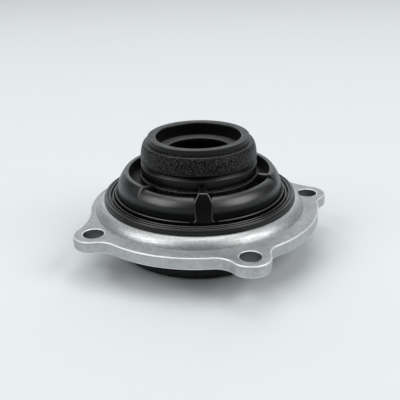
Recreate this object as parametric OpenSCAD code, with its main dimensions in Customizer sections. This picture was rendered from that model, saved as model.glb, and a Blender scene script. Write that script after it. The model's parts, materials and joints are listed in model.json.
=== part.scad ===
// Strut mount: a four-lug cast flange with a rubber rod bush in its hub, and a ball bearing on which
// a moulded dome and the bump-stop cup turn with the strut. The cup points up, and the flange's
// mounting face is at z = 0, so the rubber base under it carries the part when it stands.

/* [Rod bush] */
// Diameter of the bore that takes the damper rod
rod_d = 14.2; // [10:0.1:18]
// Wall of the inner sleeve
sleeve_wall = 4.9; // [3:0.1:7]
// Height of the inner sleeve above the mounting face
sleeve_top = 12; // [9:0.5:12]
// Length of the inner sleeve below the mounting face
sleeve_drop = 12; // [8:0.5:14]
// Radial thickness of the rubber in the bush
bush_rubber = 13.2; // [9:0.1:16]
// Depth of the moulded hollow in each end of the rubber
bush_hollow = 4; // [2:0.25:5]
// Wall of the bush's outer can
can_wall = 1.8; // [1:0.1:3]

/* [Flange] */
// Thickness of the flange plate and its lugs
plate_t = 6.2; // [5:0.1:9]
// Thickness of the web under the bearing
web_t = 4.5; // [3:0.1:4.8]
// Wall of the hub around the bush
hub_wall = 3; // [2:0.1:5]
// Height of the hub above the web
hub_h = 4.5; // [4:0.1:5]
// Length of the hub below the mounting face
hub_drop = 10; // [8:0.5:12]
// Width of the hub's bottom shoulder, which stops the bush
hub_shoulder = 2.6; // [1:0.1:4]
// Height of the rounded ring above the plate, which is also its radius
ring_h = 5; // [3:0.1:7]
// How much further out than down the ring's slope runs, below 0 where it is steeper
ring_spread = -0.3; // [-1:0.1:1]
// How far the ring's slope bulges from a straight line
ring_bulge = 0.75; // [0.2:0.05:1.2]
// Width of the flat land inside the ring, where the seal sits
seal_land = 4.2; // [3:0.1:6]
// Width of the plate outside the ring, at the front
front_land = 7.8; // [5:0.1:12]
// Width of the plate outside the ring, at the rear
rear_land = 3; // [1.5:0.1:5]

/* [Lugs] */
// Diameter of the bolt holes
lug_hole_d = 10.5; // [8:0.1:12]
// Radius of a lug's round end
lug_end_r = 10.2; // [8:0.1:12]
// Distance from the front edge's radius out to the front lug's hole
front_lug_out = 2.8; // [-1:0.1:6]
// Distance from the front edge's radius out to the side lugs' holes
side_lug_out = -1.4; // [-4:0.1:4]
// Distance from the front edge's radius out to the rear lug's hole
rear_lug_out = 0; // [-4:0.1:4]
// Angle from the front to each side lug
side_lug_angle = 78.3; // [65:0.1:90]
// Sideways shift of the front and rear lugs from the rod's axis
long_shift = -2.8; // [-4:0.1:4]
// Sideways shift of the pair of side lugs from the rod's axis
side_shift = -1.4; // [-4:0.1:4]
// Radius of the fillet from a lug to the front edge
front_fillet_r = 10; // [5:0.5:16]
// Radius of the sweep from a lug to the rear edge
rear_fillet_r = 40; // [30:1:60]

/* [Bearing] */
// Diameter of a ball
ball_d = 6; // [5:0.1:6.6]
// Number of balls
ball_count = 24; // [12:1:28]
// Radial width of a race
race_w = 8; // [7.6:0.1:10]
// Thickness of a race
race_t = 3.8; // [3:0.1:5]
// Gap between the two races' faces
race_gap = 2.4; // [2:0.1:3]
// Running clearance between a ball and its grooves and pockets
ball_clear = 0.1; // [0.05:0.01:0.15]
// Clearance between the cage and each race
cage_clear = 0.4; // [0.3:0.05:0.6]
// Wall of the guide ring that holds the fixed race
guide_wall = 2; // [1.5:0.1:3]
// Floor of the guide ring
guide_floor = 2; // [1.5:0.1:3]

/* [Dome] */
// Wall from the moving race out to the dome's bottom ledge
dome_wall = 6.1; // [5:0.05:8]
// How far the dome's rim lies in from its bottom ledge
skirt_lean = 6; // [4.5:0.05:7.5]
// How far the skirt bulges from a straight line
skirt_bulge = 1; // [0.2:0.05:1.6]
// Height of the dome's bottom ledge
dome_edge_h = 3; // [1.5:0.1:4]
// Width of that ledge, outside the skirt's foot
ledge_w = 1.2; // [0.6:0.1:2]
// Thickness of the shelf over the moving race
shelf_t = 3.2; // [2:0.1:5]
// Height of the high rim above the shelf
rim_h = 7.6; // [6:0.1:10]
// How far the wall drops below the rim at the window
window_drop = 1.3; // [1:0.1:3.5]
// Rounding of the wall's top at the window
window_round = 3.4; // [1.5:0.1:5]
// Wall of the high rim
rim_wall = 2.1; // [1.5:0.1:3]
// Wall of the short collar inside the moving race
collar_wall = 1.7; // [1.2:0.1:2.5]
// Length of that collar below the shelf
collar_h = 2.5; // [1.5:0.1:3]
// Number of radial stops in the dome's channel
stop_count = 3; // [2:1:4]
// Width of a radial stop
stop_w = 2.4; // [2:0.1:4]
// How far a stop's top lies below the rim
stop_drop = 0.6; // [0.2:0.1:2]
// Angle from the rib to the first stop, where the window starts
window_start = -50; // [-58:1:-35]
// Width of the rib at its shoulders
rib_w = 9.3; // [7:0.1:12]
// Width of the rib at its foot
rib_foot_w = 8; // [6:0.1:9]
// Width of the rib's front edge at its tip
rib_tip_w = 4.7; // [4:0.1:6.5]
// Width of the rib where it meets the neck
rib_end_w = 3.4; // [2:0.1:4]
// How far the rib's front bulges from a straight line
rib_bulge = 0.5; // [0.2:0.1:3]
// How far the rib's tip rises above the high rim
rib_rise = 1.4; // [0.4:0.1:2]
// How far the rib's head stands outside the rim's bore
rib_reach = 2.6; // [1:0.1:4]
// Angle of the rib from the X axis with the bearing at rest
rib_angle = -110; // [-180:1:180]

/* [Bump-stop cup] */
// Diameter of the socket for the bump stop
socket_d = 45.4; // [40:0.1:48]
// Depth of the socket
socket_depth = 7.5; // [5:0.1:10]
// Wall of the socket at the cup's rim
rim_land = 4.5; // [3:0.1:5]
// Diameter of the hole through the socket's floor
throat_d = 35; // [28:0.5:38]
// Thickness of the socket's floor
socket_floor = 3; // [2:0.1:4]
// Height of the cup's rim above the channel's floor
cup_h = 24.1; // [22:0.1:28]
// Height of the plain band under the rim
rim_band = 2.6; // [1.5:0.1:4]
// Height of the foot bead on the channel's floor
bead_h = 4; // [2:0.1:5]
// Height of the plain band between the foot bead and the groove
lower_band = 6.7; // [5:0.1:8]
// How far the neck stands out from the cup's sleeve
neck_step = 0.9; // [0.5:0.1:2]
// Depth of the groove round the neck
groove_depth = 1.3; // [0.4:0.1:1.4]
// Thickness of the cup's foot flange
foot_t = 2; // [1.2:0.1:3]
// Wall of the cup's sleeve inside the dome
sleeve_t = 2.3; // [1.8:0.1:3]

/* [Seals] */
// Gap between the dome's ledge and the casting's bore
labyrinth = 1.9; // [1.5:0.05:4]
// Height of the outer seal above the ring
seal_h = 2.7; // [2:0.1:4]
// Depth of the outer seal's sleeve in the casting's bore
seal_depth = 4.2; // [2:0.1:6]
// Wall of that sleeve
seal_wall = 1.6; // [1:0.1:2]
// Height of the beads on the seal's top
seal_bead = 0.35; // [0.2:0.05:0.6]

/* [Base] */
// Outer radius of the rubber base
base_r = 46.5; // [43:0.1:49]
// Height of the rubber base
base_h = 16.8; // [14:0.1:20]
// Radius of the rounded bottom edge
base_round = 4; // [2:0.1:6]
// Width of the casting's spigot inside the base
spigot_w = 3; // [2:0.1:5]
// Length of the spigot
spigot_h = 5; // [3:0.1:8]
// Depth of the casting's recess that the base's rim sits in
base_seat = 0.5; // [0.3:0.1:1]
// Width of the chamfer round the base's mouth
base_mouth = 3; // [1:0.1:5]

/* [Hidden] */
$fn = 96;
overlap = 0.5;
arc_steps = 10;
part_gap = 0.3;
fit_gap = 0.1;
blend = 0.02;

// Radii, from the rod out to the flange's edge
rod_r = rod_d / 2;
sleeve_r = rod_r + sleeve_wall;
can_in = sleeve_r + bush_rubber;
hub_bore = can_in + can_wall;
hub_r = hub_bore + hub_wall;
race_in = hub_r + guide_wall;
race_out = race_in + race_w;
pitch_r = (race_in + race_out) / 2;
dome_r = race_out + dome_wall;
pocket_r = dome_r + labyrinth;
ring_r = pocket_r + seal_land;
foot_r = ring_r + ring_h;
front_r = foot_r + front_land;
rear_r = foot_r + rear_land;

// Heights, from the mounting face up to the cup's rim
hub_top = web_t + hub_h;
ring_top = plate_t + ring_h;
race_z = web_t + guide_floor;
ball_z = race_z + race_t + race_gap / 2;
moving_z = ball_z + race_gap / 2;
seat_z = moving_z + race_t;
shelf_z = seat_z + shelf_t;
rim_z = shelf_z + rim_h;
window_z = rim_z - window_drop;
floor_z = shelf_z + foot_t;
cup_z = floor_z + cup_h;
dome_bottom = moving_z + part_gap;
edge_z = dome_bottom + dome_edge_h;

// The bush's seat in the hub, its circlip, and the spigot that the base is pressed over
circlip_t = 1.2;
circlip_edge = 0.8;
circlip_bite = 1;
bush_step = 2;
bush_bottom = bush_step - hub_drop;
bush_top = hub_top - circlip_edge - circlip_t;
spigot_cover = 3;
spigot_out = base_r - spigot_cover;
spigot_in = spigot_out - spigot_w;

// The dome's rim, collar and radial stops
rim_out = dome_r - skirt_lean;
rim_in = rim_out - rim_wall;
collar_in = race_in - collar_wall;
stop_angles = [for (i = [0:stop_count - 1]) window_start + 360 * i / stop_count];

// The cup's sleeve, neck and foot bead, and the snap edge under the dome's collar
bead_step = 0.8;
snap_clear = 0.1;
snap_h = 1.1;
chamber_r = collar_in - sleeve_t;
neck_r = collar_in + neck_step;
bead_r = neck_r + bead_step;
snap_z = seat_z - collar_h - snap_clear;
cup_bottom = snap_z - snap_h;

// Centres of the lugs' holes: front, right, rear and left
side_x = (front_r + side_lug_out) * sin(side_lug_angle);
side_y = -(front_r + side_lug_out) * cos(side_lug_angle);
front_hole = [long_shift, -front_r - front_lug_out];
right_hole = [side_shift + side_x, side_y];
rear_hole = [long_shift, front_r + rear_lug_out];
left_hole = [side_shift - side_x, side_y];

// Lugs: hole's centre, and whether each flank runs to the front edge
lugs = [
    [front_hole, true, true],
    [right_hole, true, false],
    [rear_hole, false, false],
    [left_hole, false, true],
];

// Points of an arc about a centre, from one angle to another
function arc(centre, radius, from, to) =
    [for (i = [0:arc_steps]) let (a = from + (to - from) * i / arc_steps) centre + radius * [cos(a), sin(a)]];

// Points of a shallow curve between two points, which bulges to the right by the given height
function bow(p, q, bulge) =
    let (d = q - p, side = [d[1], -d[0]] / norm(d))
    [for (i = [0:arc_steps]) let (t = i / arc_steps) p + d * t + side * bulge * 4 * t * (1 - t)];

// A point on the curve that leaves p towards the bend and arrives at q from it
function roll(p, bend, q, t) = p * pow(1 - t, 2) + bend * 2 * t * (1 - t) + q * pow(t, 2);

module ring(inner, outer, bottom, top) {
    translate([0, 0, bottom])
        difference() {
            cylinder(r = outer, h = top - bottom);
            translate([0, 0, -overlap]) cylinder(r = inner, h = top - bottom + 2 * overlap);
        }
}

module spun(points) {
    rotate_extrude() polygon(points);
}

// Where a lug's fillet circle sits: touching the lug's round end and an edge circle
function fillet_angle(hole_r, edge_r, fillet_r) =
    acos((pow(hole_r, 2) + pow(edge_r + fillet_r, 2) - pow(lug_end_r + fillet_r, 2))
         / (2 * hole_r * (edge_r + fillet_r)));

// One flank of a lug that lies along +X, on the side that "side" gives
module lug_flank(hole_r, at_front, side) {
    edge_r = at_front ? front_r : rear_r;
    fillet_r = at_front ? front_fillet_r : rear_fillet_r;
    turn = side * fillet_angle(hole_r, edge_r, fillet_r);
    centre = (edge_r + fillet_r) * [cos(turn), sin(turn)];
    difference() {
        polygon(side > 0 ? [[0, 0], [hole_r, 0], centre] : [[0, 0], centre, [hole_r, 0]]);
        translate(centre) circle(r = fillet_r + blend);
    }
}

module flange_outline() {
    reach = 2 * front_r;
    circle(r = rear_r);
    intersection() {
        circle(r = front_r);
        polygon([[0, 0], left_hole * 2, [-reach, -reach], [reach, -reach], right_hole * 2]);
    }
    for (lug = lugs) {
        hole_r = norm(lug[0]);
        translate(lug[0]) circle(r = lug_end_r);
        rotate(atan2(lug[0][1], lug[0][0])) {
            lug_flank(hole_r, lug[1], -1);
            lug_flank(hole_r, lug[2], 1);
        }
    }
}

// Aluminium casting: plate with four lugs, rounded ring, bearing pocket, hub and spigot
module mounting_flange() {
    groove_top = hub_top - circlip_edge;
    color("silver")
        difference() {
            union() {
                linear_extrude(plate_t) flange_outline();
                spun(concat(
                    [[pocket_r - overlap, 0], [foot_r + ring_spread, 0]],
                    bow([foot_r + ring_spread, plate_t], [ring_r, ring_top], ring_bulge),
                    [[pocket_r - overlap, ring_top]]));
                ring(hub_bore - hub_shoulder, hub_r, -hub_drop, hub_top);
                ring(spigot_in, spigot_out, -spigot_h, web_t);
            }
            translate([0, 0, web_t])
                difference() {
                    cylinder(r = pocket_r, h = ring_top);
                    cylinder(r = hub_r, h = ring_top);
                }
            translate([0, 0, bush_bottom]) cylinder(r = hub_bore, h = ring_top + hub_drop);
            translate([0, 0, groove_top - circlip_t]) cylinder(r = hub_bore + circlip_bite, h = circlip_t);
            translate([0, 0, -hub_drop - overlap]) cylinder(r = hub_bore - hub_shoulder, h = 2 * hub_drop);
            ring(spigot_out, base_r + part_gap, -overlap, base_seat);
            for (lug = lugs)
                translate([lug[0][0], lug[0][1], -overlap]) cylinder(d = lug_hole_d, h = ring_top + 2 * overlap);
        }
}

// Rubber ring pressed into the casting's bore, with a flat flange on the land and an inner step
module outer_lip_seal() {
    bottom = ring_top - seal_depth;
    step_z = ring_top + seal_h / 2;
    top = ring_top + seal_h;
    lip_in = pocket_r + part_gap;
    sleeve_in = max(pocket_r - seal_wall, dome_r + part_gap);
    bead_w = (seal_land - 2 * part_gap) / 3;
    corner = 0.5;
    color("dimgray")
        difference() {
            spun([[sleeve_in, bottom], [pocket_r, bottom], [pocket_r, ring_top], [ring_r, ring_top],
                  [ring_r - corner / 2, top - corner], [ring_r - corner, top], [lip_in + corner, top],
                  [lip_in, top - corner], [lip_in, step_z], [sleeve_in, step_z]]);
            ring(lip_in + bead_w, lip_in + bead_w + seal_bead, top - seal_bead, top + overlap);
        }
}

// Small rubber lip on the hub, under the cup's sleeve
module inner_lip_seal() {
    lip_t = 1;
    base_t = 1.2;
    lip_r = (hub_bore + hub_r) / 2;
    base_top = hub_top + base_t;
    color("dimgray") {
        ring(hub_bore, hub_r, hub_top, base_top);
        ring(lip_r - lip_t / 2, lip_r + lip_t / 2, base_top - overlap, cup_bottom - part_gap);
    }
}

// Rubber ring under the flange, pressed over the casting's spigot: the part stands on it
module base_buffer() {
    color([0.08, 0.08, 0.08])
        difference() {
            spun(concat(
                [[hub_r, 0], [hub_r, -base_h + base_mouth], [hub_r + base_mouth, -base_h]],
                arc([base_r - base_round, -base_h + base_round], base_round, -90, 0),
                [[base_r, base_seat], [spigot_out - overlap, base_seat], [spigot_out - overlap, 0]]));
            ring(spigot_in, spigot_out, -spigot_h, base_seat + overlap);
        }
}

module bush_can() {
    color("darkgray") ring(can_in, hub_bore, bush_bottom, bush_top);
}

// Rubber bonded between the sleeve and the can, hollowed at both ends
module rubber_bush() {
    inset = 1;
    bottom = bush_bottom + inset;
    top = bush_top - inset;
    shoulder = 2;
    middle = (sleeve_r + can_in) / 2;
    color([0.1, 0.1, 0.1])
        spun([[sleeve_r, bottom], [sleeve_r + shoulder, bottom], [middle, bottom + bush_hollow],
              [can_in - shoulder, bottom], [can_in, bottom], [can_in, top], [can_in - shoulder, top],
              [middle, top - bush_hollow], [sleeve_r + shoulder, top], [sleeve_r, top]]);
}

module inner_sleeve() {
    color("lightgray") ring(rod_r, sleeve_r, -sleeve_drop, sleeve_top);
}

// Spring-steel ring in the hub's groove, open at one side
module bush_circlip() {
    gap_w = 9;
    color("slategray")
        difference() {
            ring(hub_bore - 2 * circlip_bite, hub_bore + circlip_bite, bush_top, bush_top + circlip_t);
            translate([0, -gap_w / 2, bush_top - overlap]) cube([hub_r, gap_w, circlip_t + 2 * overlap]);
        }
}

// Moulded channel on the casting's web, which holds the fixed race
module guide_ring() {
    recess = 0.1;
    wall_top = race_z + race_t - recess;
    color([0.15, 0.15, 0.16])
        difference() {
            ring(hub_r, race_out + guide_wall, web_t, wall_top);
            ring(race_in, race_out, race_z, wall_top + overlap);
        }
}

module ball_groove() {
    translate([0, 0, ball_z])
        rotate_extrude() translate([pitch_r, 0]) circle(d = ball_d + 2 * ball_clear);
}

module fixed_race() {
    color("gainsboro")
        difference() {
            ring(race_in, race_out, race_z, race_z + race_t);
            ball_groove();
        }
}

module moving_race() {
    color("gainsboro")
        difference() {
            ring(race_in, race_out, moving_z, seat_z);
            ball_groove();
        }
}

module around_balls() {
    for (i = [0:ball_count - 1]) rotate(360 * i / ball_count) translate([pitch_r, 0, ball_z]) children();
}

module ball_cage() {
    cage_t = race_gap - 2 * cage_clear;
    color("goldenrod")
        difference() {
            ring(race_in, race_out, ball_z - cage_t / 2, ball_z + cage_t / 2);
            around_balls() cylinder(d = ball_d + 2 * ball_clear, h = 2 * cage_t, center = true);
        }
}

module bearing_balls() {
    color("whitesmoke") around_balls() sphere(d = ball_d);
}

// The dome's skirt, from its foot up to its head under the rim
dome_corner = 0.6;
rib_proud = 0.2;
rim_edge = 0.35;
skirt = bow([dome_r - ledge_w, edge_z], [rim_out + rim_edge, rim_z - rim_edge], skirt_bulge);

module dome_section() {
    polygon(concat(
        [[collar_in, seat_z - collar_h], [race_in - fit_gap, seat_z - collar_h], [race_in - fit_gap, seat_z],
         [race_out + fit_gap, seat_z], [race_out + fit_gap, dome_bottom], [dome_r - dome_corner, dome_bottom],
         [dome_r, dome_bottom + dome_corner], [dome_r, edge_z]],
        skirt,
        [[rim_out, rim_z], [rim_in, rim_z], [rim_in, shelf_z], [collar_in, shelf_z]]));
}

// What the window takes off the wall: all above a crown that rolls over from the skirt
module window_section() {
    kept = [for (p = skirt) if (p[1] < window_z - window_round) p];
    edge = kept[len(kept) - 1] + [blend, 0];
    lean = skirt[arc_steps] - skirt[0];
    bend = [edge[0] + lean[0] * (window_z - edge[1]) / lean[1] - dome_corner, window_z];
    crown = [rim_in + dome_corner, window_z];
    out_r = dome_r + overlap;
    in_r = rim_in - overlap;
    top = rim_z + overlap;
    polygon(concat(
        [[out_r, top], [in_r, top], [in_r, window_z - dome_corner - overlap]],
        [for (i = [0:arc_steps]) roll(crown, bend, edge, i / arc_steps)],
        [[out_r, edge[1]]]));
}

// Rib that climbs the skirt and bridges the channel to the neck, along +X
module dome_rib() {
    half_w = rib_w / 2;
    half_foot = rib_foot_w / 2;
    half_tip = rib_tip_w / 2;
    half_end = rib_end_w / 2;
    foot_lift = 0.4;
    flare = 1.2;
    face_r = dome_r + rib_proud;
    tip_r = rim_in + rib_reach;
    tip_z = rim_z + rib_rise;
    knee_z = rim_z - 2 * rib_rise;
    end_z = tip_z + rib_rise / 2;
    foot_z = dome_bottom + foot_lift;
    flare_z = edge_z - rib_proud;
    clear_z = floor_z + part_gap;
    near = neck_r + part_gap;
    past_bead = bead_r + part_gap;
    bead_z = clear_z + bead_h;
    root = rim_in + rim_wall / 2;
    spread_r = tip_r + rib_proud;
    half = [[half_foot, dome_bottom], [half_foot, flare_z], [half_foot + flare, flare_z],
            [half_foot, edge_z + flare], [half_w, knee_z], [half_tip, tip_z], [half_tip, end_z + overlap]];
    intersection() {
        rotate([90, 0, 0])
            linear_extrude(4 * half_w, center = true)
                polygon(concat(
                    [[face_r, foot_z]],
                    bow([face_r, edge_z], [tip_r, tip_z], rib_bulge),
                    [[near, end_z], [near, bead_z], [past_bead, bead_z], [past_bead, clear_z],
                     [root, clear_z], [root, seat_z + overlap], [race_out + overlap, foot_z]]));
        rotate([90, 0, 90])
            linear_extrude(face_r + overlap)
                polygon(concat(half, [for (i = [len(half) - 1:-1:0]) [-half[i][0], half[i][1]]]));
        translate([0, 0, dome_bottom])
            linear_extrude(end_z)
                polygon([[0, -half_end], [near, -half_end], [tip_r, -half_tip], [spread_r, -rib_w],
                         [2 * dome_r, -rib_w], [2 * dome_r, rib_w], [spread_r, rib_w],
                         [tip_r, half_tip], [near, half_end], [0, half_end]]);
    }
}

// Moulded cap over the bearing: skirt, high rim with one window, radial stops and a rib
module bearing_dome() {
    stop_in = bead_r + part_gap;
    stop_out = rim_in + rim_wall / 2;
    past_stop = asin((stop_w / 2 + part_gap) / rim_in);
    window_angle = 360 / stop_count - 2 * past_stop;
    color([0.12, 0.12, 0.13])
        rotate(rib_angle) {
            difference() {
                rotate_extrude() dome_section();
                rotate(window_start + past_stop) rotate_extrude(angle = window_angle) window_section();
            }
            for (a = stop_angles)
                rotate(a)
                    translate([stop_in, -stop_w / 2, shelf_z - overlap])
                        cube([stop_out - stop_in, stop_w, rim_z - shelf_z + overlap - stop_drop]);
            dome_rib();
        }
}

// Cup for the bump stop: a hollow neck whose foot flange sits in the dome and keys on its stops
module bump_stop_cup() {
    socket_r = socket_d / 2;
    throat_r = throat_d / 2;
    rim_r = socket_r + rim_land;
    flare = 0.2;
    band_step = 1;
    step_turn = 18;
    lip_edge = 0.3;
    band_z = cup_z - rim_band;
    groove_z = floor_z + bead_h + lower_band;
    socket_z = cup_z - socket_depth;
    roof_z = socket_z - socket_floor;
    edge = 0.5;
    snap = 0.7;
    foot_r = rim_in - part_gap / 2;
    sleeve_out = collar_in - fit_gap;
    crease = [rim_r + flare + band_step, band_z];
    waist = [neck_r, groove_z + groove_depth];
    shoulder = [for (i = [0:arc_steps])
        let (a = step_turn + (90 - step_turn) * i / arc_steps)
        [crease[0] + (waist[0] - crease[0]) * sin(a), waist[1] + (crease[1] - waist[1]) * cos(a)]];
    color([0.13, 0.13, 0.13])
        rotate(rib_angle)
            difference() {
                spun(concat(
                    [[socket_r + edge, cup_z], [rim_r - lip_edge, cup_z], [rim_r, cup_z - lip_edge],
                     [rim_r + flare, band_z]],
                    shoulder,
                    [[neck_r - groove_depth, groove_z], [neck_r, groove_z - groove_depth],
                     [neck_r, floor_z + bead_h], [bead_r, floor_z + bead_h - edge], [bead_r, floor_z],
                     [foot_r, floor_z], [foot_r, shelf_z], [sleeve_out, shelf_z],
                     [sleeve_out, snap_z], [collar_in + snap, snap_z], [collar_in - edge, cup_bottom],
                     [chamber_r, cup_bottom], [chamber_r, roof_z - socket_floor],
                     [chamber_r - socket_floor, roof_z], [throat_r, roof_z], [throat_r, socket_z],
                     [socket_r, socket_z], [socket_r, cup_z - edge]]));
                for (a = stop_angles)
                    rotate(a)
                        translate([bead_r + part_gap / 2, -stop_w / 2 - part_gap / 2, shelf_z - overlap])
                            cube([rim_in, stop_w + part_gap, foot_t + 2 * overlap]);
            }
}

mounting_flange();
outer_lip_seal();
inner_lip_seal();
base_buffer();
bush_can();
rubber_bush();
inner_sleeve();
bush_circlip();
guide_ring();
fixed_race();
ball_cage();
bearing_balls();
moving_race();
bearing_dome();
bump_stop_cup();
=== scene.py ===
import json
import math

import bmesh
import bpy
from mathutils import Matrix, Vector


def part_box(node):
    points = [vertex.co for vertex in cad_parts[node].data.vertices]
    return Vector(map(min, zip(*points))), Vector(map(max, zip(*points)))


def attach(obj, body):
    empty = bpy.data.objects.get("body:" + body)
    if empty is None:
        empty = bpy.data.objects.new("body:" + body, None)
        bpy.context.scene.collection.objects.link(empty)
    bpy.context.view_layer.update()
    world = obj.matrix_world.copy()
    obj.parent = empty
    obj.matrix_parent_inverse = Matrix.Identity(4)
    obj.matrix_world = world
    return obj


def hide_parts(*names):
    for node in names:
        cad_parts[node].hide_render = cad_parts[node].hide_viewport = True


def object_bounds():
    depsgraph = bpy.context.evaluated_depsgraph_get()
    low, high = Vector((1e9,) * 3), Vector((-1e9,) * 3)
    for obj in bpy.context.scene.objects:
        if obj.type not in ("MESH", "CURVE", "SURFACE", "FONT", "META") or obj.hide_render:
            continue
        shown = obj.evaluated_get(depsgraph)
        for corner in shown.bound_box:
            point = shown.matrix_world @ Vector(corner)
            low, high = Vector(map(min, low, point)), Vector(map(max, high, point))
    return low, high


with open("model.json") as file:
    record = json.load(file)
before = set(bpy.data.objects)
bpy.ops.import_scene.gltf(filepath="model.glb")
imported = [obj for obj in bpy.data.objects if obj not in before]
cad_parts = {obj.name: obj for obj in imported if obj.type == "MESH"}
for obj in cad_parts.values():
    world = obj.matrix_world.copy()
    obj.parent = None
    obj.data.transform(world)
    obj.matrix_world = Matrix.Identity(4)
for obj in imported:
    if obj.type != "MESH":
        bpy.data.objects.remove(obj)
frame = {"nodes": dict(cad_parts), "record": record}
cad_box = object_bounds()


# Rubber base: a thick moulded ring, pressed over the casting's spigot, on which the mount stands.
# Black natural rubber straight from the mould, matt, with a faint uneven bloom.
WELD = 2e-6
SEAM_WELD = 1e-7
FLAT_DEG = 0.6
SHARP_DEG = 30.0
ROUNDING_ROOM = 2.1
SEAM_TURNS = [0.13 + math.pi * third / 3 for third in range(3)]
MM_PER_M = 1000.0
PATCH_NOISE = (0.32, 0.68)
ROUGH_SPREAD = 0.12


def wide_beside(edge, face, width):
    """Whether a face reaches further than the given width from one of its edges."""
    start = edge.verts[0].co
    along = (edge.verts[1].co - start).normalized()
    return any((corner.co - start).cross(along).length > width for corner in face.verts)


def has_room(edge, rounding):
    """Whether an edge lies between two faces that are wide enough to be rounded."""
    return all(wide_beside(edge, face, ROUNDING_ROOM * rounding) for face in edge.link_faces)


def moulded_copy(node, name, rounding, sharp_deg):
    """A merged copy of a CAD node, smooth over its curved faces, with its outer edges rounded.

    Three planes through the axis split its ring-shaped faces into segments, which fill cleanly.
    The attribute "edge" is 1 on the rounded edges, for finishes that wear or polish there and for a painted
    highlight there."""
    mesh = frame["nodes"][node].data.copy()
    mesh.name = name
    mesh.materials.clear()
    for old in [a for a in mesh.attributes if a.name == "custom_normal"]:
        mesh.attributes.remove(old)
    bm = bmesh.new()
    bm.from_mesh(mesh)
    bmesh.ops.remove_doubles(bm, verts=bm.verts, dist=WELD)
    bmesh.ops.dissolve_limit(bm, angle_limit=math.radians(FLAT_DEG), verts=bm.verts, edges=bm.edges,
                             use_dissolve_boundaries=False)
    for turn in SEAM_TURNS:
        across = (math.cos(turn), math.sin(turn), 0.0)
        bmesh.ops.bisect_plane(bm, geom=[*bm.verts, *bm.edges, *bm.faces], dist=SEAM_WELD, plane_no=across)
    bm.normal_update()
    for face in bm.faces:
        face.material_index = 0
    sharp = math.radians(sharp_deg)
    corners = [e for e in bm.edges if len(e.link_faces) == 2 and e.calc_face_angle_signed(0.0) > sharp
               and has_room(e, rounding)]
    bmesh.ops.bevel(bm, geom=corners, offset=rounding, offset_type="OFFSET", segments=3, profile=0.5,
                    affect="EDGES", clamp_overlap=False, material=1)
    bm.to_mesh(mesh)
    bm.free()
    mesh.shade_smooth()
    mesh.set_sharp_from_angle(angle=sharp)
    edge = mesh.attributes.new("edge", "FLOAT", "FACE")
    for face in mesh.polygons:
        edge.data[face.index].value = face.material_index
        face.material_index = 0
    piece = bpy.data.objects.new(name, mesh)
    bpy.context.scene.collection.objects.link(piece)
    return piece


def dress(piece, material, slot, body, *nodes):
    """Gives a piece its material, hides the CAD nodes it stands for, and lets it ride its body."""
    piece.data.materials.clear()
    piece.data.materials.append(material)
    if nodes:
        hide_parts(*nodes)
    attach(piece, body)


def dressed_copy(node, name, material, slot, body, rounding, sharp_deg=SHARP_DEG):
    """A moulded copy of one CAD node, dressed to stand for it."""
    dress(moulded_copy(node, name, rounding, sharp_deg), material, slot, body, node)


def put(tree, kind, inputs=None, **settings):
    """Adds a node, sets its settings and its inputs, and links the inputs that are given as sockets."""
    node = tree.nodes.new(kind)
    for key, value in settings.items():
        setattr(node, key, value)
    for key, value in (inputs or {}).items():
        if isinstance(value, bpy.types.NodeSocket):
            tree.links.new(value, node.inputs[key])
        else:
            node.inputs[key].default_value = value
    return node


def shader_group(name, inputs, output):
    """An empty shader group with named value inputs and one value output, and its two end nodes."""
    tree = bpy.data.node_groups.new(name, "ShaderNodeTree")
    for label, default in inputs:
        socket = tree.interface.new_socket(label, in_out="INPUT", socket_type="NodeSocketFloat")
        socket.default_value = default
    tree.interface.new_socket(output, in_out="OUTPUT", socket_type="NodeSocketFloat")
    return tree, tree.nodes.new("NodeGroupInput").outputs, tree.nodes.new("NodeGroupOutput").inputs


def use_group(tree, group, **values):
    """Puts a shader group in a tree with the given inputs, and returns its one output."""
    node = put(tree, "ShaderNodeGroup", node_tree=group)
    for key, value in values.items():
        node.inputs[key.replace("_", " ")].default_value = value
    return node.outputs[0]


def new_material(name):
    """A new material, its tree and its Principled shader."""
    material = bpy.data.materials.new(name)
    material.use_nodes = True
    tree = material.node_tree
    tree.nodes.clear()
    shader = put(tree, "ShaderNodeBsdfPrincipled")
    put(tree, "ShaderNodeOutputMaterial", {"Surface": shader.outputs["BSDF"]})
    return material, tree, shader


def feed(tree, shader, **sockets):
    """Links sockets to a shader's inputs of the same names."""
    for key, value in sockets.items():
        tree.links.new(value, shader.inputs[key.replace("_", " ")])


def maths(tree, operation, a, b):
    return put(tree, "ShaderNodeMath", {0: a, 1: b}, operation=operation).outputs[0]


def map_range(tree, value, source, target, kind="LINEAR"):
    """Spreads a value from the source's two ends to the target's two ends, and no further."""
    ends = {"From Min": source[0], "From Max": source[1], "To Min": target[0], "To Max": target[1]}
    spread = put(tree, "ShaderNodeMapRange", {"Value": value, **ends}, interpolation_type=kind)
    return spread.outputs["Result"]


def blend_value(tree, mask, a, b):
    return put(tree, "ShaderNodeMix", {0: mask, 2: a, 3: b}, data_type="FLOAT").outputs[0]


def blend_colour(tree, mask, a, b):
    """Mixes two colours, each a socket or three numbers."""
    a, b = (c if isinstance(c, bpy.types.NodeSocket) else (*c, 1.0) for c in (a, b))
    return put(tree, "ShaderNodeMix", {0: mask, 6: a, 7: b}, data_type="RGBA").outputs[2]


def object_place(tree):
    """Where a shaded point lies in its object's frame, which for the pieces is the part's."""
    return put(tree, "ShaderNodeTexCoord").outputs["Object"]


def bumped(tree, height, depth_mm, strength):
    inputs = {"Height": height, "Strength": strength, "Distance": depth_mm / MM_PER_M}
    return put(tree, "ShaderNodeBump", inputs).outputs[0]


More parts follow.
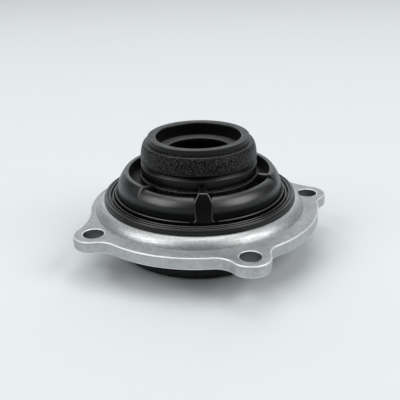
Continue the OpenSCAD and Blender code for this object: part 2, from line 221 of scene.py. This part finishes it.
def cloudy_group():
    """Slow uneven patches over a surface, from Low to High: bloom on rubber, handling marks on metal."""
    tree, given, out = shader_group("cloudy", [("Size mm", 12.0), ("Low", 0.4), ("High", 0.6)], "Value")
    scale = maths(tree, "DIVIDE", MM_PER_M, given["Size mm"])
    noise = put(tree, "ShaderNodeTexNoise",
                {"Vector": object_place(tree), "Scale": scale, "Detail": 4.0, "Roughness": 0.55})
    patches = map_range(tree, noise.outputs["Fac"], PATCH_NOISE, (given["Low"], given["High"]))
    tree.links.new(patches, out["Value"])
    return tree


def grain_group():
    """The height of a moulded or cast skin: rounded lumps of the given size with finer noise on them."""
    tree, given, out = shader_group("skin grain", [("Lump mm", 0.8), ("Fine share", 0.3)], "Height")
    place = object_place(tree)
    scale = maths(tree, "DIVIDE", MM_PER_M, given["Lump mm"])
    finer = maths(tree, "MULTIPLY", scale, 1.7)
    lumps = put(tree, "ShaderNodeTexVoronoi", {"Vector": place, "Scale": scale}, feature="SMOOTH_F1")
    fine = put(tree, "ShaderNodeTexNoise", {"Vector": place, "Scale": finer, "Detail": 3.0})
    rounded = maths(tree, "SUBTRACT", 1.0, lumps.outputs["Distance"])
    tree.links.new(blend_value(tree, given["Fine share"], rounded, fine.outputs["Fac"]), out["Height"])
    return tree


CLOUDY = cloudy_group()
GRAIN = grain_group()


def rubber_finish(name, dark, bloomed, rough, lump_mm, depth_mm, gloss=0.36):
    """Moulded rubber: a dark colour with a paler bloom, and a fine skin."""
    material, tree, shader = new_material(name)
    bloom = use_group(tree, CLOUDY, Size_mm=9.0, Low=0.0, High=1.0)
    skin = use_group(tree, GRAIN, Lump_mm=lump_mm, Fine_share=0.5)
    shader.inputs["Specular IOR Level"].default_value = gloss
    feed(tree, shader,
         Base_Color=blend_colour(tree, bloom, dark, bloomed),
         Roughness=use_group(tree, CLOUDY, Size_mm=5.0, Low=rough, High=rough + ROUGH_SPREAD),
         Normal=bumped(tree, skin, depth_mm, strength=0.6))
    return material


base_rubber = rubber_finish("black base rubber", dark=(0.0035, 0.0035, 0.004),
                            bloomed=(0.008, 0.008, 0.0085), rough=0.55, lump_mm=0.9, depth_mm=0.03)
dressed_copy("base_buffer", "rubber_base", base_rubber, "base_rubber", "housing", rounding=0.0006)


# Flange: one aluminium die casting with four bolt lugs, tumbled to a satin skin; its rounded edges are
# paler, partly burnished and partly a painted highlight.
# The sloped ring round the bearing pocket is turned smooth; the bolt holes' walls get painted shade, a dark
# colour.
PLATE_TOP = 0.0062
SIDES_BELOW = PLATE_TOP - 0.0008
RING_INNER = 0.0515
RING_OUTER = 0.0571
BOLT_WALL_R = 0.0054
LINE_NOISE = (0.3, 0.7)
LINE_BREAK = 0.004


def object_height(tree):
    """How high a shaded point lies above the flange's mounting face."""
    return put(tree, "ShaderNodeSeparateXYZ", {0: object_place(tree)}).outputs["Z"]


def vector_maths(tree, operation, a, b, result="Vector"):
    return put(tree, "ShaderNodeVectorMath", {0: a, 1: b}, operation=operation).outputs[result]


def level_place(tree):
    """Where a shaded point lies when its height is left out."""
    return vector_maths(tree, "MULTIPLY", object_place(tree), (1.0, 1.0, 0.0))


def edge_mask(tree):
    """1 on a moulded copy's rounded edges."""
    return put(tree, "ShaderNodeAttribute", attribute_name="edge").outputs["Fac"]


def from_axis_group():
    """Distance of a point from the part's axis, and so rings and turned lines."""
    tree, _, out = shader_group("from axis", [], "Radius")
    radius = put(tree, "ShaderNodeVectorMath", {0: level_place(tree)}, operation="LENGTH").outputs["Value"]
    tree.links.new(radius, out["Radius"])
    return tree


FROM_AXIS = from_axis_group()


def turned_group():
    """1 on the turned ring and 0 on the rest of the casting, by distance from the axis and height."""
    tree, given, out = shader_group(
        "turned band", [("Inner", RING_INNER), ("Outer", RING_OUTER), ("Above", PLATE_TOP)], "Mask")
    radius = use_group(tree, FROM_AXIS)
    past_inner = maths(tree, "GREATER_THAN", radius, given["Inner"])
    within_outer = maths(tree, "LESS_THAN", radius, given["Outer"])
    above = maths(tree, "GREATER_THAN", object_height(tree), given["Above"])
    band = maths(tree, "MULTIPLY", past_inner, within_outer)
    tree.links.new(maths(tree, "MULTIPLY", band, above), out["Mask"])
    return tree


def turned_lines_group():
    """Fine broken rings left by a turning tool, from Low to High, by distance from the axis and height."""
    tree, given, out = shader_group(
        "turned lines", [("Pitch mm", 0.4), ("Low", 0.2), ("High", 0.3)], "Value")
    radius = use_group(tree, FROM_AXIS)
    profile = put(tree, "ShaderNodeCombineXYZ", {"X": radius, "Y": object_height(tree)}).outputs[0]
    outward = put(tree, "ShaderNodeVectorMath", {0: level_place(tree)}, operation="NORMALIZE").outputs[0]
    breaks = put(tree, "ShaderNodeVectorMath", {0: outward, "Scale": LINE_BREAK}, operation="SCALE")
    broken = vector_maths(tree, "ADD", profile, breaks.outputs[0])
    scale = maths(tree, "DIVIDE", MM_PER_M, given["Pitch mm"])
    noise = put(tree, "ShaderNodeTexNoise", {"Vector": broken, "Scale": scale, "Detail": 3.0})
    lines = map_range(tree, noise.outputs["Fac"], LINE_NOISE, (given["Low"], given["High"]))
    tree.links.new(lines, out["Value"])
    return tree


TURNED_LINES = turned_lines_group()


def bolt_hole_group(centres):
    """1 on the walls of the bolt holes, which lie about the given centres."""
    tree, given, out = shader_group("bolt hole walls", [("Hole radius", BOLT_WALL_R)], "Mask")
    place = level_place(tree)
    nearest = 1.0
    for centre in centres:
        away = vector_maths(tree, "DISTANCE", place, centre, "Value")
        nearest = maths(tree, "MINIMUM", away, nearest)
    tree.links.new(maths(tree, "LESS_THAN", nearest, given["Hole radius"]), out["Mask"])
    return tree


openings = frame["record"]["physics"]["openings"]
bolt_boxes = [o["box_m"] for o in openings if o["name"].endswith("bolt_hole")]
bolt_centres = [((a[0] + b[0]) / 2, (a[1] + b[1]) / 2, 0.0) for a, b in bolt_boxes]


def casting_finish():
    """Patchy satin metal with the turned ring; painted sheen on the plate's sides as a paler copy of the
    skin, paler rounded edges that are partly burnished and partly a painted highlight, and painted shade in
    the bolt holes.
    """
    material, tree, shader = new_material("tumbled cast aluminium")
    turned = use_group(tree, turned_group())
    holes = use_group(tree, bolt_hole_group(bolt_centres))
    sides = maths(tree, "LESS_THAN", object_height(tree), SIDES_BELOW)
    patches = use_group(tree, CLOUDY, Size_mm=7.0, Low=0.0, High=0.5)
    scuffs = use_group(tree, CLOUDY, Size_mm=1.8, Low=0.0, High=0.5)
    worn = maths(tree, "ADD", patches, scuffs)
    top_skin = blend_colour(tree, worn, (0.31, 0.318, 0.322), (0.47, 0.48, 0.485))
    # Painted sheen: the plate's sides get a paler copy of the skin colour.
    painted_sheen_side_skin = blend_colour(tree, worn, (0.4, 0.41, 0.415), (0.58, 0.59, 0.595))
    tool_lines = use_group(tree, TURNED_LINES, Pitch_mm=0.7, Low=0.0, High=1.0)
    ring_worn = maths(tree, "ADD", scuffs, maths(tree, "MULTIPLY", tool_lines, 0.5))
    ring = blend_colour(tree, ring_worn, (0.43, 0.44, 0.445), (0.71, 0.72, 0.725))
    metal = blend_colour(tree, turned, blend_colour(tree, sides, top_skin, painted_sheen_side_skin), ring)
    # Paler rounded edges: partly burnished metal, partly a painted highlight.
    edge_burnish_and_highlight = blend_colour(tree, edge_mask(tree), metal, (0.86, 0.87, 0.875))
    skin_rough = use_group(tree, CLOUDY, Size_mm=2.5, Low=0.43, High=0.57)
    ring_rough = blend_value(tree, tool_lines, 0.54, 0.4)
    metal_rough = blend_value(tree, turned, skin_rough, ring_rough)
    lump_share = blend_value(tree, turned, 1.0, 0.2)
    lumps = maths(tree, "MULTIPLY", use_group(tree, GRAIN, Lump_mm=1.2, Fine_share=0.45), lump_share)
    feed(tree, shader,
         # Painted shade: the bolt holes' walls get a dark colour.
         Base_Color=blend_colour(tree, holes, edge_burnish_and_highlight, (0.16, 0.163, 0.165)),
         Roughness=blend_value(tree, holes, metal_rough, 0.62),
         Normal=bumped(tree, lumps, depth_mm=0.12, strength=0.6))
    shader.inputs["Metallic"].default_value = 1.0
    return material


dressed_copy("mounting_flange", "cast_flange", casting_finish(), "casting", "housing", rounding=0.0006)


# Rod bush: a steel sleeve and can with rubber bonded between them, pushed up into the hub against
# its shoulder and held there by a spring-steel circlip in a groove.
def steel_finish(name, colour, low, high):
    """Turned or drawn steel: rings of uneven gloss, and small stains."""
    material, tree, shader = new_material(name)
    stained = tuple(c * 0.8 for c in colour)
    stains = use_group(tree, CLOUDY, Size_mm=4.0, Low=0.0, High=1.0)
    feed(tree, shader,
         Base_Color=blend_colour(tree, stains, stained, colour),
         Roughness=use_group(tree, TURNED_LINES, Pitch_mm=0.3, Low=low, High=high))
    shader.inputs["Metallic"].default_value = 1.0
    return material


plated_steel = steel_finish("zinc-plated steel", (0.46, 0.46, 0.45), low=0.3, high=0.45)
spring_steel = steel_finish("blued spring steel", (0.12, 0.12, 0.13), low=0.3, high=0.4)
bush_rubber = rubber_finish("bonded bush rubber", dark=(0.006, 0.006, 0.006),
                            bloomed=(0.012, 0.012, 0.012), rough=0.5, lump_mm=0.9, depth_mm=0.03)
dressed_copy("bush_can", "bush_outer_can", plated_steel, "bush_steel", "housing", rounding=0.0003)
dressed_copy("rubber_bush", "bonded_rubber", bush_rubber, "bush_rubber", "housing", rounding=0.0008)
dressed_copy("inner_sleeve", "rod_sleeve", plated_steel, "bush_steel", "housing", rounding=0.0005)
dressed_copy("bush_circlip", "circlip", spring_steel, "bush_steel", "housing", rounding=0.0002)


# Bearing: two ground steel races with a row of balls in a nylon cage, in a moulded guide ring that
# lies on the casting's web. The dome and the seals close it in.
def geometry_group(name, inputs):
    """An empty geometry group with named inputs; also the values to set, by socket identifier."""
    tree = bpy.data.node_groups.new(name, "GeometryNodeTree")
    tree.interface.new_socket("Geometry", in_out="INPUT", socket_type="NodeSocketGeometry")
    settings = {}
    for label, kind, value in inputs:
        socket = tree.interface.new_socket(label, in_out="INPUT", socket_type="NodeSocket" + kind)
        settings[socket.identifier] = value
    tree.interface.new_socket("Geometry", in_out="OUTPUT", socket_type="NodeSocketGeometry")
    return tree, tree.nodes.new("NodeGroupInput").outputs, settings


def end_smooth(tree, geometry, material):
    """Ends a geometry group: what it made is shaded smooth and given its material."""
    smooth = put(tree, "GeometryNodeSetShadeSmooth", {"Geometry": geometry, "Shade Smooth": True})
    dressed = put(tree, "GeometryNodeSetMaterial",
                  {"Geometry": smooth.outputs["Geometry"], "Material": material})
    put(tree, "NodeGroupOutput", {"Geometry": dressed.outputs["Geometry"]})


def grown(tree, settings, name):
    """Runs a geometry group on an empty mesh, and keeps what it makes as a plain mesh object."""
    maker = bpy.data.objects.new(name + " maker", bpy.data.meshes.new(name + " start"))
    bpy.context.scene.collection.objects.link(maker)
    modifier = maker.modifiers.new("grow", "NODES")
    modifier.node_group = tree
    for identifier, value in settings.items():
        modifier[identifier] = value
    depsgraph = bpy.context.evaluated_depsgraph_get()
    mesh = bpy.data.meshes.new_from_object(maker.evaluated_get(depsgraph))
    mesh.name = name
    bpy.data.objects.remove(maker)
    piece = bpy.data.objects.new(name, mesh)
    bpy.context.scene.collection.objects.link(piece)
    return piece


def ball_row(count, pitch_r, ball_r, height, material):
    """A ring of balls."""
    tree, given, settings = geometry_group("ball row", [
        ("Balls", "Int", count), ("Pitch radius", "Float", pitch_r), ("Ball radius", "Float", ball_r),
        ("Height", "Float", height), ("Steel", "Material", material)])
    ring = put(tree, "GeometryNodeMeshCircle", {"Vertices": given["Balls"], "Radius": given["Pitch radius"]})
    lift = put(tree, "ShaderNodeCombineXYZ", {"Z": given["Height"]})
    placed = put(tree, "GeometryNodeSetPosition",
                 {"Geometry": ring.outputs["Mesh"], "Offset": lift.outputs[0]})
    ball = put(tree, "GeometryNodeMeshUVSphere",
               {"Segments": 32, "Rings": 16, "Radius": given["Ball radius"]})
    row = put(tree, "GeometryNodeInstanceOnPoints",
              {"Points": placed.outputs["Geometry"], "Instance": ball.outputs["Mesh"]})
    solid = put(tree, "GeometryNodeRealizeInstances", {"Geometry": row.outputs["Instances"]})
    end_smooth(tree, solid.outputs["Geometry"], given["Steel"])
    return grown(tree, settings, "balls")


def plastic_finish(name, colour, low, high, lump_mm, depth_mm):
    """Moulded nylon: one colour, an uneven satin gloss and a fine moulded skin."""
    material, tree, shader = new_material(name)
    deeper = tuple(c * 0.7 for c in colour)
    tone = use_group(tree, CLOUDY, Size_mm=11.0, Low=0.0, High=1.0)
    skin = use_group(tree, GRAIN, Lump_mm=lump_mm, Fine_share=0.5)
    feed(tree, shader,
         Base_Color=blend_colour(tree, tone, deeper, colour),
         Roughness=use_group(tree, CLOUDY, Size_mm=6.0, Low=low, High=high),
         Normal=bumped(tree, skin, depth_mm, strength=0.5))
    return material


balls_low, balls_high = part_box("bearing_balls")
ball_r = (balls_high.z - balls_low.z) / 2
pitch_r = (balls_high.x - balls_low.x) / 2 - ball_r
bearing_steel = steel_finish("ground bearing steel", (0.6, 0.6, 0.61), low=0.12, high=0.2)
guide_nylon = plastic_finish("black guide nylon", (0.005, 0.005, 0.0055), low=0.4, high=0.5,
                             lump_mm=0.8, depth_mm=0.02)
cage_nylon = plastic_finish("natural nylon", (0.5, 0.42, 0.27), low=0.35, high=0.45,
                            lump_mm=0.6, depth_mm=0.01)
dressed_copy("guide_ring", "race_guide", guide_nylon, "dome_plastic", "housing", rounding=0.0003)
dressed_copy("fixed_race", "lower_race", bearing_steel, "bearing_steel", "housing", rounding=0.0002)
dressed_copy("ball_cage", "nylon_cage", cage_nylon, "cage_plastic", "cage", rounding=0.0002)
balls = ball_row(count=24, pitch_r=pitch_r, ball_r=ball_r, height=balls_low.z + ball_r,
                 material=bearing_steel)
dress(balls, bearing_steel, "bearing_steel", "cage", "bearing_balls")
dressed_copy("moving_race", "upper_race", bearing_steel, "bearing_steel", "swivel", rounding=0.0002)


# Seals: a rubber ring pushed into the casting's bore, with a ribbed flange over the ring's land, and
# a small lip on the hub. Both are moulded rubber, smoother than the base, and the ribs are rubbed shiny.
def seal_ribs(count, inner_r, pitch, rib_r, height, material):
    """Concentric round ribs that stand a little out of the seal's flat top."""
    tree, given, settings = geometry_group("seal ribs", [
        ("Ribs", "Int", count), ("Inner radius", "Float", inner_r), ("Pitch", "Float", pitch),
        ("Rib radius", "Float", rib_r), ("Height", "Float", height), ("Rubber", "Material", material)])
    centre = put(tree, "ShaderNodeCombineXYZ", {"Z": given["Height"]})
    points = put(tree, "GeometryNodePoints", {"Count": given["Ribs"], "Position": centre.outputs[0]})
    step = maths(tree, "MULTIPLY", put(tree, "GeometryNodeInputIndex").outputs[0], given["Pitch"])
    radius = maths(tree, "ADD", step, given["Inner radius"])
    hoop = put(tree, "GeometryNodeCurvePrimitiveCircle", {"Resolution": 160, "Radius": 1.0}, mode="RADIUS")
    hoops = put(tree, "GeometryNodeInstanceOnPoints",
                {"Points": points.outputs[0], "Instance": hoop.outputs["Curve"], "Scale": radius})
    laid = put(tree, "GeometryNodeRealizeInstances", {"Geometry": hoops.outputs["Instances"]})
    section = put(tree, "GeometryNodeCurvePrimitiveCircle",
                  {"Resolution": 10, "Radius": given["Rib radius"]}, mode="RADIUS")
    ribs = put(tree, "GeometryNodeCurveToMesh",
               {"Curve": laid.outputs["Geometry"], "Profile Curve": section.outputs["Curve"]})
    end_smooth(tree, ribs.outputs["Mesh"], given["Rubber"])
    return grown(tree, settings, "seal_ribs")


RIB_SINK = 0.0001
seal_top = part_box("outer_lip_seal")[1].z
seal_rubber = rubber_finish("grey seal rubber", dark=(0.004, 0.004, 0.0045),
                            bloomed=(0.008, 0.008, 0.0085), rough=0.28, lump_mm=0.5, depth_mm=0.01)
rubbed_rubber = rubber_finish("rubbed seal rubber", dark=(0.006, 0.006, 0.0065),
                              bloomed=(0.01, 0.01, 0.0105), rough=0.2, lump_mm=0.5, depth_mm=0.01, gloss=0.9)
dressed_copy("outer_lip_seal", "lip_seal", seal_rubber, "seal_rubber", "housing", rounding=0.00025)
ribs = seal_ribs(count=3, inner_r=0.0471, pitch=0.0019, rib_r=0.0005, height=seal_top - RIB_SINK,
                 material=rubbed_rubber)
dress(ribs, rubbed_rubber, "seal_rubber", "housing")
dressed_copy("inner_lip_seal", "hub_lip", seal_rubber, "seal_rubber", "housing", rounding=0.0002)


# Dome: the bearing's cap, a satin black nylon moulding that snaps over the moving race. Its rim is
# cut down at the front window, and one rib climbs its skirt to the neck.
NYLON_SHARP_DEG = 26.0
CROWN_HEIGHTS = (0.0188, 0.0212)
RIB_TURN = math.radians(-110.0)
RIB_HALF_WIDTH = 0.00465


def dome_finish():
    """Satin nylon, polished on its edges and on its skirt's crown, dull towards the foot and on the rib."""
    material = plastic_finish("satin black nylon", (0.0018, 0.002, 0.0026), low=0.33, high=0.4,
                              lump_mm=2.0, depth_mm=0.012)
    tree = material.node_tree
    shader = next(n for n in tree.nodes if n.type == "BSDF_PRINCIPLED")
    crown_gloss = map_range(tree, object_height(tree), CROWN_HEIGHTS, (0.05, 0.74))
    along = (math.cos(RIB_TURN), math.sin(RIB_TURN), 0.0)
    across = (-along[1], along[0], 0.0)
    place = object_place(tree)
    outward = vector_maths(tree, "DOT_PRODUCT", place, along, "Value")
    sideways = vector_maths(tree, "DOT_PRODUCT", place, across, "Value")
    near_rib = maths(tree, "LESS_THAN", maths(tree, "ABSOLUTE", sideways, 0.0), RIB_HALF_WIDTH)
    on_rib = maths(tree, "MULTIPLY", near_rib, maths(tree, "GREATER_THAN", outward, 0.0))
    gloss = blend_value(tree, on_rib, crown_gloss, 0.16)
    shader.inputs["IOR"].default_value = 1.6
    feed(tree, shader, Specular_IOR_Level=blend_value(tree, edge_mask(tree), gloss, 1.0))
    return material


dressed_copy("bearing_dome", "bearing_cap", dome_finish(), "dome_plastic", "swivel", rounding=0.00045,
             sharp_deg=NYLON_SHARP_DEG)


# Cup: a hollow neck that holds the bump stop, moulded in black nylon and keyed on the dome's stops.
# Its band and foot come out of the mould with a leathery grain, its rim and groove smooth.
CUP_BAND_LOW, CUP_BAND_HIGH, CUP_BEAD_TOP = 0.0333, 0.0428, 0.0258
CUP_OUTSIDE_R = 0.0245
SOCKET_R = 0.0227
SOCKET_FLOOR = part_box("bump_stop_cup")[1].z - 0.0075
FLOOR_NEAR = 0.0004


def grained_heights_group():
    """1 where the cup's outside is grained, by height: the wide band, and from the foot up to its bead."""
    tree, given, out = shader_group("grained heights", [
        ("Band low", CUP_BAND_LOW), ("Band high", CUP_BAND_HIGH), ("Bead top", CUP_BEAD_TOP),
        ("Blend", 0.0005)], "Mask")
    height = object_height(tree)

    def step(edge, before, after):
        far = maths(tree, "ADD", given[edge], given["Blend"])
        return map_range(tree, height, (given[edge], far), (before, after))

    band = maths(tree, "MULTIPLY", step("Band low", 0.0, 1.0), step("Band high", 1.0, 0.0))
    tree.links.new(maths(tree, "MAXIMUM", band, step("Bead top", 1.0, 0.0)), out["Mask"])
    return tree


def cup_finish():
    """Black nylon, grained outside, with a painted highlight, a paler flecked colour, on the socket's floor.
    """
    material, tree, shader = new_material("grained black nylon")
    radius = use_group(tree, FROM_AXIS)
    outside = maths(tree, "GREATER_THAN", radius, CUP_OUTSIDE_R)
    grained = maths(tree, "MULTIPLY", use_group(tree, grained_heights_group()), outside)
    above_floor = maths(tree, "SUBTRACT", object_height(tree), SOCKET_FLOOR)
    floor_height = maths(tree, "LESS_THAN", maths(tree, "ABSOLUTE", above_floor, 0.0), FLOOR_NEAR)
    on_floor = maths(tree, "MULTIPLY", floor_height, maths(tree, "LESS_THAN", radius, SOCKET_R))
    smooth_rough = use_group(tree, CLOUDY, Size_mm=5.0, Low=0.32, High=0.4)
    grain_rough = use_group(tree, CLOUDY, Size_mm=3.0, Low=0.34, High=0.42)
    grain = use_group(tree, GRAIN, Lump_mm=0.55, Fine_share=0.35)
    lumps = maths(tree, "MULTIPLY", grain, blend_value(tree, grained, 0.03, 1.0))
    crest_gloss = map_range(tree, grain, (0.54, 0.72), (0.1, 1.0))
    gloss = blend_value(tree, grained, 0.26, crest_gloss)
    tone = use_group(tree, CLOUDY, Size_mm=8.0, Low=0.0, High=1.0)
    specks = use_group(tree, CLOUDY, Size_mm=1.2, Low=0.0, High=1.0)
    nylon = blend_colour(tree, tone, (0.0018, 0.0018, 0.0021), (0.003, 0.003, 0.0034))
    # Painted highlight: the socket's floor gets a paler, flecked colour.
    painted_ledge_highlight = blend_colour(tree, specks, (0.06, 0.06, 0.062), (0.13, 0.13, 0.133))
    feed(tree, shader,
         Specular_IOR_Level=blend_value(tree, edge_mask(tree), gloss, 0.8),
         Base_Color=blend_colour(tree, on_floor, nylon, painted_ledge_highlight),
         Roughness=blend_value(tree, grained, smooth_rough, grain_rough),
         Normal=bumped(tree, lumps, depth_mm=0.4, strength=1.0))
    return material


dressed_copy("bump_stop_cup", "stop_cup", cup_finish(), "cup_plastic", "swivel", rounding=0.00025,
             sharp_deg=NYLON_SHARP_DEG)


# Studio: a pale paper floor that runs back past the picture's edge, large soft lamps on both sides and
# overhead, and a room that is pale ahead of the camera and dim elsewhere, so that blacks keep their depth.
VIEW_TURN = Matrix.Rotation(math.radians(-22.36), 3, "Z")
FLOOR_SIZE = 8.0
FLOOR_FADE = (0.0, 0.8)
ROOM_RISE = 0.4
ROOM_EDGE = (0.62, 0.9)
ROOM_GLOW = (0.06, 1.05)
SKYLINE_RISE = (0.02, 0.18)
SKYLINE_GLOW = (0.45, 0.0)
LAMP_DISTANCE = 2.4
CAMERA_PLACE = (0.0, -0.333479, 0.151546)
CAMERA_RIGHT = (0.999774, -0.008875, -0.019325)
CAMERA_UP = (0.021259, 0.395582, 0.918185)

floor_z = cad_box[0][2]
bpy.ops.mesh.primitive_plane_add(size=FLOOR_SIZE, location=(0, 0, floor_z))
floor = bpy.context.object
floor.name = "paper_floor"
paper, paper_tree, paper_shader = new_material("pale paper")
back = VIEW_TURN @ Vector((0.0, 1.0, 0.0))
run = vector_maths(paper_tree, "DOT_PRODUCT", object_place(paper_tree), back, "Value")
far = map_range(paper_tree, run, FLOOR_FADE, (0.0, 1.0))
feed(paper_tree, paper_shader,
     Base_Color=blend_colour(paper_tree, far, (0.79, 0.825, 0.835), (0.83, 0.86, 0.88)),
     Roughness=use_group(paper_tree, CLOUDY, Size_mm=40.0, Low=0.85, High=0.95))
paper_shader.inputs["Specular IOR Level"].default_value = 0.1
floor.data.materials.append(paper)

world = bpy.data.worlds.new("pale room")
bpy.context.scene.world = world
world.use_nodes = True
room = world.node_tree
room.nodes.clear()
facing = put(room, "ShaderNodeTexCoord").outputs["Generated"]
ahead = VIEW_TURN @ Vector((0.0, math.cos(ROOM_RISE), math.sin(ROOM_RISE)))
towards = vector_maths(room, "DOT_PRODUCT", facing, ahead, "Value")
lit = map_range(room, towards, ROOM_EDGE, ROOM_GLOW, "SMOOTHSTEP")
rise = put(room, "ShaderNodeSeparateXYZ", {0: facing}).outputs["Z"]
skyline = map_range(room, rise, SKYLINE_RISE, SKYLINE_GLOW, "SMOOTHSTEP")
level = maths(room, "MAXIMUM", lit, skyline)
glow = put(room, "ShaderNodeBackground", {"Color": (0.94, 0.97, 1.0, 1.0), "Strength": level})
put(room, "ShaderNodeOutputWorld", {"Surface": glow.outputs["Background"]})


def soft_lamp(name, turn_deg, rise_deg, width, tall, watts):
    """A rectangular soft lamp that faces the mount; its turn is from the camera's side, to the right."""
    lamp = bpy.data.lights.new(name, "AREA")
    lamp.shape = "RECTANGLE"
    lamp.size = width
    lamp.size_y = tall
    lamp.energy = watts
    turn, rise = math.radians(turn_deg), math.radians(rise_deg)
    reach = math.cos(rise)
    way = VIEW_TURN @ Vector((math.sin(turn) * reach, -math.cos(turn) * reach, math.sin(rise)))
    stand = bpy.data.objects.new(name, lamp)
    stand.location = way * LAMP_DISTANCE
    stand.rotation_euler = way.to_track_quat("Z", "Y").to_euler()
    bpy.context.scene.collection.objects.link(stand)


soft_lamp("left soft lamp", turn_deg=-67.0, rise_deg=42.0, width=1.5, tall=1.4, watts=22.5)
soft_lamp("right soft lamp", turn_deg=66.0, rise_deg=40.0, width=1.5, tall=1.4, watts=25.0)
soft_lamp("overhead soft lamp", turn_deg=180.0, rise_deg=83.0, width=1.8, tall=1.8, watts=23.0)

camera_data = bpy.data.cameras.new("photo camera")
camera_data.sensor_width = 36.0
camera_data.lens = 58.96
camera_data.clip_start = 0.01
camera = bpy.data.objects.new("photo camera", camera_data)
right = VIEW_TURN @ Vector(CAMERA_RIGHT)
up = VIEW_TURN @ Vector(CAMERA_UP)
aim = Matrix((right, up, right.cross(up))).transposed()
camera.matrix_world = Matrix.Translation(VIEW_TURN @ Vector(CAMERA_PLACE)) @ aim.to_4x4()
bpy.context.scene.collection.objects.link(camera)
bpy.context.scene.camera = camera
bpy.context.scene.view_settings.view_transform = "Standard"
